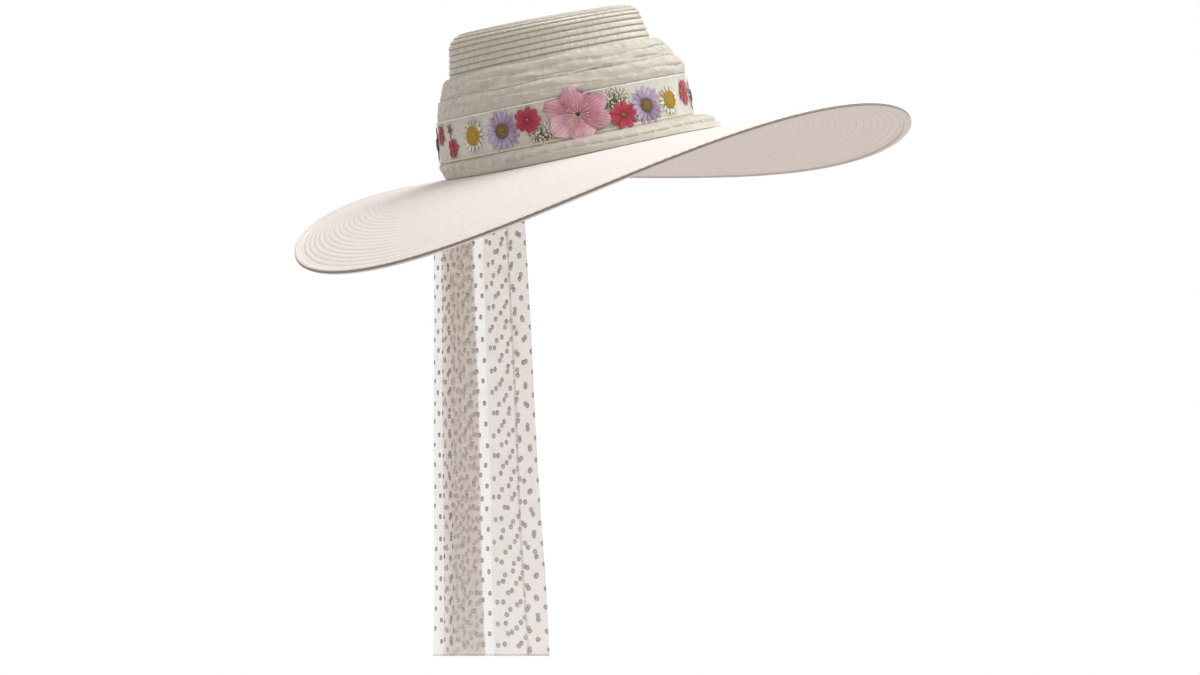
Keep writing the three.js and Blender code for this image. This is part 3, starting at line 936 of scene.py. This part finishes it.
def add_petal(skin, kind, radius, aim, level, seed):
    """Shapes a flat grid into one petal that lies out from the flower's middle."""
    start_share, half_share, foot, tip, notch, squash = kind[1:]
    made = bmesh.ops.create_grid(skin, x_segments=6, y_segments=8, size=1, calc_uvs=True)
    start = start_share * radius
    reach = radius * (1 + REACH_STRAY * wobble(seed, 1.3))
    half = radius * half_share * (1 + WIDTH_STRAY * wobble(seed, 4.1))
    bend = PETAL_BEND * radius * wobble(seed, 7.7)
    for vert in made["verts"]:
        side, along = vert.co.x, (vert.co.y + 1) / 2
        widen = foot + (1 - foot) * math.sin(math.pi / 2 * along ** 0.9)
        widen *= 1 - TIP_NARROWING * along ** 5
        cut = tip * side * side * along * along + notch * (1 - abs(side)) ** 1.6 * along ** 3
        frill = PETAL_FRILL * radius * wobble(seed, side * 2.1, along * 3.3) * along
        vert.co.x = half * widen * side + bend * along * along + frill
        vert.co.y = start + (reach - start) * along * (1 - cut) + frill
        crumple = PETAL_CRUMPLE * wobble(seed + 0.5, side * 1.7, along * 2.9) * along
        vert.co.z = level + PETAL_CUP * side * side * along + crumple
    bmesh.ops.rotate(skin, verts=made["verts"], cent=(0, 0, 0), matrix=Matrix.Rotation(aim, 3, "Z"))
    bmesh.ops.scale(skin, verts=made["verts"], vec=(1, squash, 1))
    return made


def add_bead(skin, centre, radius, flatness, finish):
    """A floret, bud or anther: a small round grain."""
    made = bmesh.ops.create_icosphere(skin, subdivisions=1, radius=radius)
    bmesh.ops.scale(skin, vec=(1, 1, flatness), verts=made["verts"])
    bmesh.ops.translate(skin, vec=centre, verts=made["verts"])
    paint(made, finish)


def add_stalk(skin, start, end, thick, finish):
    """A thread-thin stalk from one place to another."""
    start, end = Vector(start), Vector(end)
    run = end - start
    made = bmesh.ops.create_cone(
        skin, cap_ends=True, segments=5, radius1=thick, radius2=thick * 0.7, depth=run.length
    )
    turn = run.to_track_quat("Z", "Y").to_matrix()
    bmesh.ops.rotate(skin, verts=made["verts"], cent=(0, 0, 0), matrix=turn)
    bmesh.ops.translate(skin, vec=(start + end) / 2, verts=made["verts"])
    paint(made, finish)


def off_middle(out, aim, height, squash=1.0):
    """A place on a flower, so far out from its middle and so far round."""
    return Vector((out * math.cos(aim), squash * out * math.sin(aim), height))


def add_eye(skin, radius, florets, grain):
    """The round eye of a daisy or an aster: a low dome of tiny florets in a spiral."""
    made = bmesh.ops.create_uvsphere(skin, u_segments=20, v_segments=8, radius=radius)
    bmesh.ops.scale(skin, vec=(1, 1, EYE_HEIGHT / radius), verts=made["verts"])
    bmesh.ops.translate(skin, vec=(0, 0, EYE_LIFT), verts=made["verts"])
    paint(made, 1)
    for k in range(florets):
        out = radius * math.sqrt((k + 0.5) / florets)
        height = 0.3 + 0.85 * math.sqrt(max(0.0, 1 - (out / radius) ** 2))
        finish = 2 if out < EYE_MIDDLE * radius else 1
        add_bead(skin, off_middle(out, k * GOLDEN_TURN, height), grain, 0.9, finish)


# Pressed petals: matt and papery, stronger in colour at the foot, with fine veins to the rim.
def pressed_petal(name, heart, body, rim, vein, vein_count, alpha=1.0):
    material, tree, shader = start_material(name, Roughness=0.7, Sheen_Weight=0.12, Alpha=alpha)
    coords = add_node(tree, "UVMap", {}, uv_map="petal")
    parts = add_node(tree, "SeparateXYZ", {0: coords})
    tone = add_node(tree, "ValToRGB", {"Fac": parts.outputs["Y"]})
    tone.color_ramp.elements[0].color = linear(heart)
    tone.color_ramp.elements[0].position = 0.08
    tone.color_ramp.elements[1].color = linear(rim)
    middle = tone.color_ramp.elements.new(0.42)
    middle.color = linear(body)
    stretched = add_node(
        tree, "Mapping", {"Vector": coords, "Scale": (vein_count * math.tau / 20, 0.12, 1)}
    )
    veins = add_node(
        tree, "TexWave",
        {"Vector": stretched, "Scale": 1.0, "Distortion": 1.5, "Detail": 2.0},
        bands_direction="X",
    )
    faint = add_node(
        tree, "MapRange",
        {"Value": veins.outputs["Fac"], "From Min": 0.35, "From Max": 0.95, "To Max": 0.5},
    )
    colour = add_node(tree, "Mix", {"Factor": faint, "A": tone, "B": linear(vein)}, data_type="RGBA")
    places = add_node(tree, "TexCoord", {})
    blotch = add_node(
        tree, "TexNoise", {"Vector": places.outputs["Object"], "Scale": 1000 / BROWN_SIZE, "Detail": 5.0}
    )
    browned = add_node(tree, "MapRange", {"Value": blotch, "From Min": 0.36, "From Max": 0.66})
    dried = add_node(
        tree, "Mix",
        {"Factor": browned, "A": colour, "B": linear("#d2bcbc")},
        data_type="RGBA",
        blend_type="MULTIPLY",
    )
    bump = add_node(
        tree, "Bump", {"Height": veins.outputs["Fac"], "Strength": 0.4, "Distance": 0.00012}
    )
    feed(tree, shader, {"Base Color": dried, "Normal": bump})
    return material


# Dried florets, anthers and stalks: a dull grainy skin, darker in its hollows.
def dried_grain(name, light, dark, grain_size):
    material, tree, shader = start_material(name, Roughness=0.8)
    coords = add_node(tree, "TexCoord", {})
    grain = add_node(
        tree, "TexNoise",
        {"Vector": coords.outputs["Object"], "Scale": 1000 / grain_size, "Detail": 3.0},
    )
    spread = add_node(tree, "MapRange", {"Value": grain, "From Min": 0.35, "From Max": 0.65})
    colour = add_node(
        tree, "Mix", {"Factor": spread, "A": linear(dark), "B": linear(light)}, data_type="RGBA"
    )
    bump = add_node(tree, "Bump", {"Height": grain, "Strength": 0.5, "Distance": 0.0002})
    feed(tree, shader, {"Base Color": colour, "Normal": bump})
    return material


flower_finishes = {
    "red_verbena": [
        pressed_petal("pressed_verbena_petal", "#86203a", "#bd3349", "#cb4c60", "#8c2438", 5),
        dried_grain("verbena_eye", "#e0a86a", "#8a3a2c", 0.5),
        dried_grain("verbena_anther", "#f0d8a8", "#c09060", 0.5),
    ],
    "lavender_aster": [
        pressed_petal("pressed_aster_petal", "#a494b8", "#c0afd2", "#d6cae2", "#9c8ab4", 3),
        dried_grain("aster_eye_rim", "#8a7448", "#5f5236", 0.7),
        dried_grain("aster_eye_middle", "#b8953f", "#84662c", 0.7),
    ],
    "white_daisy": [
        pressed_petal("pressed_daisy_petal", "#e2e2c4", "#f4f4ea", "#fafaf4", "#dcdcc8", 3, 0.82),
        dried_grain("daisy_eye_rim", "#cda63f", "#96782a", 0.7),
        dried_grain("daisy_eye_middle", "#dcb045", "#a8832e", 0.7),
    ],
    "pink_larkspur": [
        pressed_petal("pressed_larkspur_petal", "#a95f78", "#cb8a9d", "#e1b6c2", "#b9738a", 7),
        dried_grain("larkspur_eye", "#5a4638", "#2f2a22", 0.6),
        dried_grain("larkspur_stamen", "#f0e4c4", "#cdb890", 0.6),
        pressed_petal("faded_larkspur_petal", "#c08297", "#dfaebb", "#efd0d6", "#cf98a8", 7),
    ],
    "lace_spray": [
        pressed_petal("pressed_lace_blossom", "#e2e1cc", "#f6f5ea", "#fcfbf5", "#e2e0cc", 3),
        dried_grain("lace_stalk", "#5a5844", "#33322a", 0.5),
        dried_grain("lace_bud", "#e9e6cc", "#a5a184", 0.5),
    ],
    "green_sprig": [
        pressed_petal("pressed_leaf", "#4f6040", "#6c7f58", "#87966e", "#a4b088", 5),
        dried_grain("sprig_stalk", "#7a8a5c", "#55623f", 0.5),
        dried_grain("sprig_bud", "#a8b088", "#6f7a54", 0.5),
    ],
}


def petal_ring(skin, kind, radius, turn, seed):
    """The petals of one flower, every second one over its neighbours."""
    count = kind[0]
    for k in range(count):
        aim = turn + math.tau * (k + AIM_STRAY * wobble(seed, k * 1.9)) / count
        level = PETAL_LEVEL + PETAL_OVERLAP * (k % 2) + 0.05 * (k % 3)
        made = add_petal(skin, kind, radius, aim, level, seed + 0.7 * k)
        if kind is petal_kinds["pink_larkspur"] and k in FADED_PETALS:
            paint(made, 3)
    thicken(skin, PETAL_SKIN)


def lace_umbel(skin, radius, seed):
    """A flat head of tiny five-pointed blossoms on a fan of stalks."""
    root = Vector((0, -LACE_FOOT * radius, 0.1))
    spots = []
    for k in range(LACE_BLOSSOMS):
        out = radius * LACE_REACH * math.sqrt((k + 0.6) / LACE_BLOSSOMS)
        spots.append(off_middle(out, k * GOLDEN_TURN + seed, 0.35 + 0.2 * (k % 3), LACE_FLATNESS))
    for k, spot in enumerate(spots):
        made = bmesh.ops.create_circle(
            skin, cap_ends=True, cap_tris=True, segments=10, radius=BLOSSOM_RADIUS
        )
        for vert in made["verts"]:
            if vert.co.length < BLOSSOM_RADIUS / 2:
                vert.co.z -= BLOSSOM_CUP
            elif round(math.degrees(math.atan2(vert.co.y, vert.co.x)) / 36) % 2:
                vert.co *= BLOSSOM_NICK
        turn = Matrix.Rotation(k * 0.9, 3, "Z")
        bmesh.ops.rotate(skin, verts=made["verts"], cent=(0, 0, 0), matrix=turn)
        bmesh.ops.translate(skin, vec=spot, verts=made["verts"])
    thicken(skin, PETAL_SKIN)
    for k, spot in enumerate(spots):
        fork = root.lerp(spot, LACE_FORK) + Vector((0, 0, 0.05))
        if k % 3 == 0:
            add_stalk(skin, root, fork, LACE_STALK, 1)
        add_stalk(skin, fork, spot - Vector((0, 0, 0.2)), LACE_TWIG, 1)
        add_bead(skin, spot + Vector((0, 0, 0.08)), LACE_BUD, 0.8, 2 if k % 3 else 1)


def fill_flower(skin, name, radius, turn, seed):
    """Builds one flower of its kind, flat, round its own middle."""
    if name == "lace_spray":
        lace_umbel(skin, radius, seed)
        return
    petal_ring(skin, petal_kinds[name], radius * PETAL_SCALE, turn, seed)
    if name in flower_eyes:
        share, florets, grain = flower_eyes[name]
        add_eye(skin, share * radius, florets, grain)
    elif name == "red_verbena":
        for k in range(5):
            add_bead(skin, off_middle(0.09 * radius, turn + math.tau * k / 5, 0.45), 0.42, 0.7, 1)
        add_bead(skin, (0, 0, 0.6), 0.5, 0.7, 2)
    elif name == "pink_larkspur":
        for k in range(9):
            add_bead(skin, off_middle(0.6 + 0.09 * k, k * 2.4, 0.55, 0.8), 0.6, 0.7, 1)
        for k in range(STAMENS):
            aim = math.tau * (k + 0.3 * wobble(seed, k)) / STAMENS
            out = radius * (STAMEN_REACH + STAMEN_STRAY * wobble(k, seed))
            tip = off_middle(out, aim, 0.75, 0.8)
            add_stalk(skin, (0.2 * tip.x, 0.2 * tip.y, 0.55), tip, STAMEN_THICK, 2)
            add_bead(skin, tip, ANTHER_RADIUS, 0.7, 2)
    elif name == "green_sprig":
        add_stalk(skin, (0, -1.5 * radius, 0.2), (0, 0.2 * radius, 0.35), 0.3, 1)
        for k in range(4):
            add_bead(skin, off_middle(0.8, k * 1.6, 0.5), 0.45, 0.8, 2)


counts = {}
for name, angle, height, radius, turn, layer in flower_rows:
    counts[name] = counts.get(name, 0) + 1
    flower_skin = bmesh.new()
    flower_skin.loops.layers.uv.new("petal")
    fill_flower(flower_skin, name, radius, math.radians(turn - 90), angle * 0.37)
    middle = math.radians(angle)
    step = 0.01
    stretch = (band_point(middle + step, height, 0) - band_point(middle, height, 0)).length / step
    for vert in flower_skin.verts:
        out = PETAL_LIFT + layer * LAYER_STEP + vert.co.z
        vert.co = band_point(middle + vert.co.x / stretch, height + vert.co.y, out)
    face_outwards(flower_skin)
    flower = make_piece(flower_skin, f"pressed_{name}_{counts[name]}", flower_finishes[name])
    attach(flower, "root")
    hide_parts(f"{name}_{counts[name]}")

# Veil tape
# A woven cotton tape that the veil's gathers are sewn into, stitched flat under the back of the
# brim, just behind the head opening.
TAPE_FROM, TAPE_TO = math.radians(156.5), math.radians(211)
TAPE_INSIDE, TAPE_OUTSIDE = 0.04, 0.15
TAPE_THICKNESS = 1.5
TAPE_GAP = 0.5
TAPE_LENGTH = 104
TAPE_WIDTH = 13
TAPE_EASE = 0.3
TAPE_EDGE = 0.04
WEFT_PITCH, WARP_PITCH = 0.9, 0.7
GATHER_DEPTH = 0.1
GATHER_TURN = 160
STITCH_PITCH = 4.2
STITCH_ROWS = (0.2, 0.8)
STITCH_ENDS = (0.2, 0.8)
STITCH_THREAD = 0.3
STITCH_SUNK = 0.15


def tape_point(along, across, depth):
    """A point of the tape: along it, out across it, and down from the brim's underside."""
    angle = mix(TAPE_FROM, TAPE_TO, along)
    return brim_point(angle, mix(TAPE_INSIDE, TAPE_OUTSIDE, across), WALL + depth)


# Cotton tape in a plain weave, cream, with the ribs of its weft across it. Real threads lie about
# half as far apart, and are drawn coarser so that they show.
cotton_tape, tree, shader = start_material("woven_cotton_tape", Roughness=0.85, Sheen_Weight=0.3)
coords = add_node(tree, "UVMap", {}, uv_map="rows")
weft = add_node(
    tree, "TexWave", {"Vector": coords, "Scale": math.tau / 20 / WEFT_PITCH}, bands_direction="X"
)
warp = add_node(
    tree, "TexWave", {"Vector": coords, "Scale": math.tau / 20 / WARP_PITCH}, bands_direction="Y"
)
weave = add_node(tree, "Math", {0: weft.outputs["Fac"], 1: warp.outputs["Fac"]}, operation="MAXIMUM")
woven = add_node(
    tree, "Mix", {"Factor": weave, "A": linear("#c2b8ac"), "B": linear("#ece6dc")}, data_type="RGBA"
)
bump = add_node(tree, "Bump", {"Height": weave, "Strength": 0.6, "Distance": 0.0003})
feed(tree, shader, {"Base Color": woven, "Normal": bump})

tape_skin = bmesh.new()
tape_map = tape_skin.loops.layers.uv.new("rows")
bmesh.ops.create_grid(tape_skin, x_segments=52, y_segments=4, size=1)
for face in tape_skin.faces:
    for loop in face.loops:
        along, across = (loop.vert.co.x + 1) / 2, (loop.vert.co.y + 1) / 2
        loop[tape_map].uv = (along * TAPE_LENGTH, across * TAPE_WIDTH)
bmesh.ops.solidify(tape_skin, geom=tape_skin.faces[:], thickness=TAPE_THICKNESS)
rim = [edge for edge in tape_skin.edges if edge.calc_face_angle(0) > 1]
bmesh.ops.bevel(
    tape_skin, geom=rim, offset=TAPE_EDGE, affect="EDGES", segments=2, profile=0.5, material=-1
)
for vert in tape_skin.verts:
    along, across = (vert.co.x + 1) / 2, (vert.co.y + 1) / 2
    depth = TAPE_EASE - vert.co.z * 0.99
    if vert.co.z < -TAPE_THICKNESS / 2:
        depth -= GATHER_DEPTH * math.sin(along * GATHER_TURN)
    vert.co = tape_point(along, across, depth)
face_outwards(tape_skin)
stitch_depth = TAPE_GAP + TAPE_THICKNESS - STITCH_SUNK
for across in STITCH_ROWS:
    for k in range(int(TAPE_LENGTH / STITCH_PITCH)):
        ends = [(k + share) * STITCH_PITCH / TAPE_LENGTH for share in STITCH_ENDS]
        start, end = [tape_point(along, across, stitch_depth) for along in ends]
        add_stalk(tape_skin, start, end, STITCH_THREAD, 0)
sewn_tape = make_piece(tape_skin, "sewn_tape", [cotton_tape])
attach(sewn_tape, "root")
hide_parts("veil_header")

# Veil
# One sheet of fine net with tufted spots, laid in knife pleats of different widths at the tape
# and let fall straight. Where the pleats lie over each other the net is darker.
VEIL_TOP_FROM, VEIL_TOP_TO = math.radians(212), math.radians(155.5)
VEIL_HEM_FROM, VEIL_HEM_TO = math.radians(207.5), math.radians(144)
VEIL_TOP_INSIDE, VEIL_TOP_OUTSIDE = 0.04, 0.16
VEIL_HEM_INSIDE, VEIL_HEM_OUTSIDE = 99, 113
VEIL_HEM_HEIGHT = -398
VEIL_HEM_SLOPE = 0.172
VEIL_HEM_DEPTH = 73
VEIL_DROP = 358
VEIL_COLUMNS = 300
VEIL_ROWS = 56
VEIL_SPOT_RADIUS = 2.3
VEIL_SPOT_CLIMB = 0.08
VEIL_SPOT_COLUMN = 7.9
VEIL_SPOT_STRAY = 1.7
VEIL_SPOT_FLATNESS = 0.2
VEIL_SWAY = 0.009
SWAY_DROP, SWAY_ACROSS = 38, 17
RIPPLE_AT_TOP = 0.35
VEIL_TUCK = 0.15
CORNER_REACH = 2.0
VEIL_NET = 1.2
DRAPE_SIZE = 16.7
# How much the net covers: at its threads, where it lies open and where it lies close, and in its holes.
OPEN_THREADS, CLOSE_THREADS, NET_HOLES = 0.34, 0.48, 0.24
HEM_DEPTH = 1.6
HEM_THICKNESS = 0.5
# Small waves across the net: how deep, every how many millimetres, and how they turn on the way down.
veil_ripples = [(0.055, 5.2, 1.1), (0.05, 8.9, -2.3)]
# The way of the cloth seen from above, from the hat's right side to its left: how far round it is,
# and how far out between the inside and the outside of the pleats. It doubles back at each pleat.
pleat_line = [
    ("right border", 0.0, 0.96),
    ("first pleat", 0.54, 0.8),
    ("first pleat, back", 0.05, 0.66),
    ("second pleat", 0.53, 0.54),
    ("second pleat, back", 0.14, 0.4),
    ("third pleat", 0.85, 0.36),
    ("third pleat, back", 0.8, 0.29),
    ("left fold", 1.0, 0.24),
    ("left border, behind", 0.56, 0.06),
]


def round_corners(points, reach, times):
    """Cuts the corners of a chain of points again and again, less each time, so that they turn round."""
    for repeat in range(times):
        cut = [points[0]]
        for first, second in zip(points, points[1:]):
            share = min(0.25, reach / (second - first).length)
            cut += [first.lerp(second, share), first.lerp(second, 1 - share)]
        points = cut[:1] + cut[2:-1] + points[-1:]
        reach /= 2
    return points


arc = (VEIL_HEM_FROM - VEIL_HEM_TO) * (VEIL_HEM_INSIDE + VEIL_HEM_OUTSIDE) / 2
spread = VEIL_HEM_OUTSIDE - VEIL_HEM_INSIDE
pleat_corners = [Vector((share * arc, out * spread)) for where, share, out in pleat_line]
pleat_path = round_corners(pleat_corners, CORNER_REACH, 3)
pleat_reach = [0.0]
for first, second in zip(pleat_path, pleat_path[1:]):
    pleat_reach.append(pleat_reach[-1] + (second - first).length)
VEIL_WIDTH = pleat_reach[-1]


def veil_point(across, drop, lift=0.0):
    """A point of the veil, so many millimetres along its width and down from the tape."""
    across = min(max(across, 0.0), VEIL_WIDTH)
    after = next((k for k, reached in enumerate(pleat_reach) if reached >= across and k), 1)
    part = (across - pleat_reach[after - 1]) / (pleat_reach[after] - pleat_reach[after - 1])
    spot = pleat_path[after - 1].lerp(pleat_path[after], part)
    share, out = spot.x / arc, spot.y / spread
    down = drop / VEIL_DROP
    share += VEIL_SWAY * down * math.sin(drop / SWAY_DROP + across / SWAY_ACROSS)
    ripple = sum(deep * math.sin(across / pitch + turn * down) for deep, pitch, turn in veil_ripples)
    out += mix(RIPPLE_AT_TOP, 1, down) * ripple + lift / spread
    top_angle = mix(VEIL_TOP_FROM, VEIL_TOP_TO, share)
    reach = mix(VEIL_TOP_INSIDE, VEIL_TOP_OUTSIDE, out)
    top = HAT_TILT @ brim_point(top_angle, reach, WALL + TAPE_GAP + TAPE_THICKNESS + VEIL_TUCK)
    radius = mix(VEIL_HEM_INSIDE, VEIL_HEM_OUTSIDE, out)
    hem = oval(mix(VEIL_HEM_FROM, VEIL_HEM_TO, share), radius, radius, 0)
    hem.z = VEIL_HEM_HEIGHT - VEIL_HEM_SLOPE * ((hem.x + hem.y) * math.sqrt(0.5) - VEIL_HEM_DEPTH)
    return top.lerp(hem, down)


# Fine net of twisted thread: most of it is holes, so what is behind shows through, and each
# further layer takes away some more. Its holes are drawn a little wider than the real ones, so that
# they show, and it is closer in some places than in others.
veil_net, tree, shader = start_material("spotted_net", Roughness=0.8, Sheen_Weight=0.2)
coords = add_node(tree, "UVMap", {}, uv_map="rows")
net = add_node(
    tree, "TexVoronoi",
    {"Vector": coords, "Scale": 1 / VEIL_NET, "Randomness": 0.6},
    feature="DISTANCE_TO_EDGE",
)
drape = add_node(tree, "TexNoise", {"Vector": coords, "Scale": 1 / DRAPE_SIZE, "Detail": 2.0})
closeness = add_node(
    tree, "MapRange",
    {
        "Value": drape,
        "From Min": 0.35, "From Max": 0.65,
        "To Min": OPEN_THREADS, "To Max": CLOSE_THREADS,
    },
)
threads = add_node(
    tree, "MapRange",
    {"Value": net, "From Min": 0.04, "From Max": 0.25, "To Min": closeness, "To Max": NET_HOLES},
)
# The net is painted yellower at the top and pinker lower down; the warmer top is painted shade from the
# brim above it.
parts = add_node(tree, "SeparateXYZ", {0: coords})
lower = add_node(tree, "MapRange", {"Value": parts.outputs["Y"], "From Min": 20.0, "From Max": 180.0})
colour = add_node(
    tree, "Mix", {"Factor": lower, "A": linear("#f4e8da"), "B": linear("#f6eae6")}, data_type="RGBA"
)
feed(tree, shader, {"Base Color": colour, "Alpha": threads})

# The spots are close tufts that let no light through, so they show as soft grey dots.
veil_thread = dried_grain("tufted_spot_thread", "#dcd2cd", "#c2b8b3", 0.8)


def flat_sheet(columns, rows, width, top, bottom):
    """A flat sheet of quads mapped in millimetres: x along its width, y down from the tape."""
    skin = bmesh.new()
    layer = skin.loops.layers.uv.new("rows")
    bmesh.ops.create_grid(skin, x_segments=columns, y_segments=rows, size=1)
    for vert in skin.verts:
        across, down = (vert.co.x + 1) / 2, (1 - vert.co.y) / 2
        vert.co = Vector((mix(0, width, across), mix(top, bottom, down), 0))
    for face in skin.faces:
        for loop in face.loops:
            loop[layer].uv = loop.vert.co.to_2d()
    return skin


veil_skin = flat_sheet(VEIL_COLUMNS, VEIL_ROWS, VEIL_WIDTH, 0, VEIL_DROP)
for vert in veil_skin.verts:
    vert.co = veil_point(vert.co.x, vert.co.y)
pleated_veil = make_piece(veil_skin, "pleated_veil", [veil_net], Matrix())

hem_skin = flat_sheet(VEIL_COLUMNS, 3, VEIL_WIDTH, VEIL_DROP - HEM_DEPTH, VEIL_DROP)
bmesh.ops.solidify(hem_skin, geom=hem_skin.faces[:], thickness=HEM_THICKNESS)
for vert in hem_skin.verts:
    vert.co = veil_point(vert.co.x, vert.co.y, -vert.co.z - HEM_THICKNESS / 2)
bmesh.ops.recalc_face_normals(hem_skin, faces=hem_skin.faces)
veil_hem = make_piece(hem_skin, "veil_hem", [veil_net], Matrix())

tuft_skin = bmesh.new()
tuft_skin.loops.layers.uv.new("rows")
for column in range(int(VEIL_WIDTH / VEIL_SPOT_COLUMN)):
    across = (column + 0.5) * VEIL_SPOT_COLUMN
    for k in range(int(VEIL_DROP / SPOT_PITCH)):
        drop = (k + 0.3 + 0.5 * (column % 2)) * SPOT_PITCH + (across * VEIL_SPOT_CLIMB) % SPOT_PITCH
        if drop > VEIL_DROP - VEIL_SPOT_RADIUS:
            continue
        middle = across + VEIL_SPOT_STRAY * wobble(column * 1.9, k * 1.7)
        drop += VEIL_SPOT_STRAY * wobble(column * 1.3, k * 2.1, 5.0)
        made = bmesh.ops.create_icosphere(tuft_skin, subdivisions=1, radius=VEIL_SPOT_RADIUS)
        for vert in made["verts"]:
            lift = VEIL_SPOT_FLATNESS * vert.co.z
            vert.co = veil_point(middle + vert.co.x, drop + vert.co.y, lift)
face_outwards(tuft_skin)
veil_tufts = make_piece(tuft_skin, "veil_tufts", [veil_thread], Matrix())
for part in (pleated_veil, veil_hem, veil_tufts):
    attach(part, "root")
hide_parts("veil")
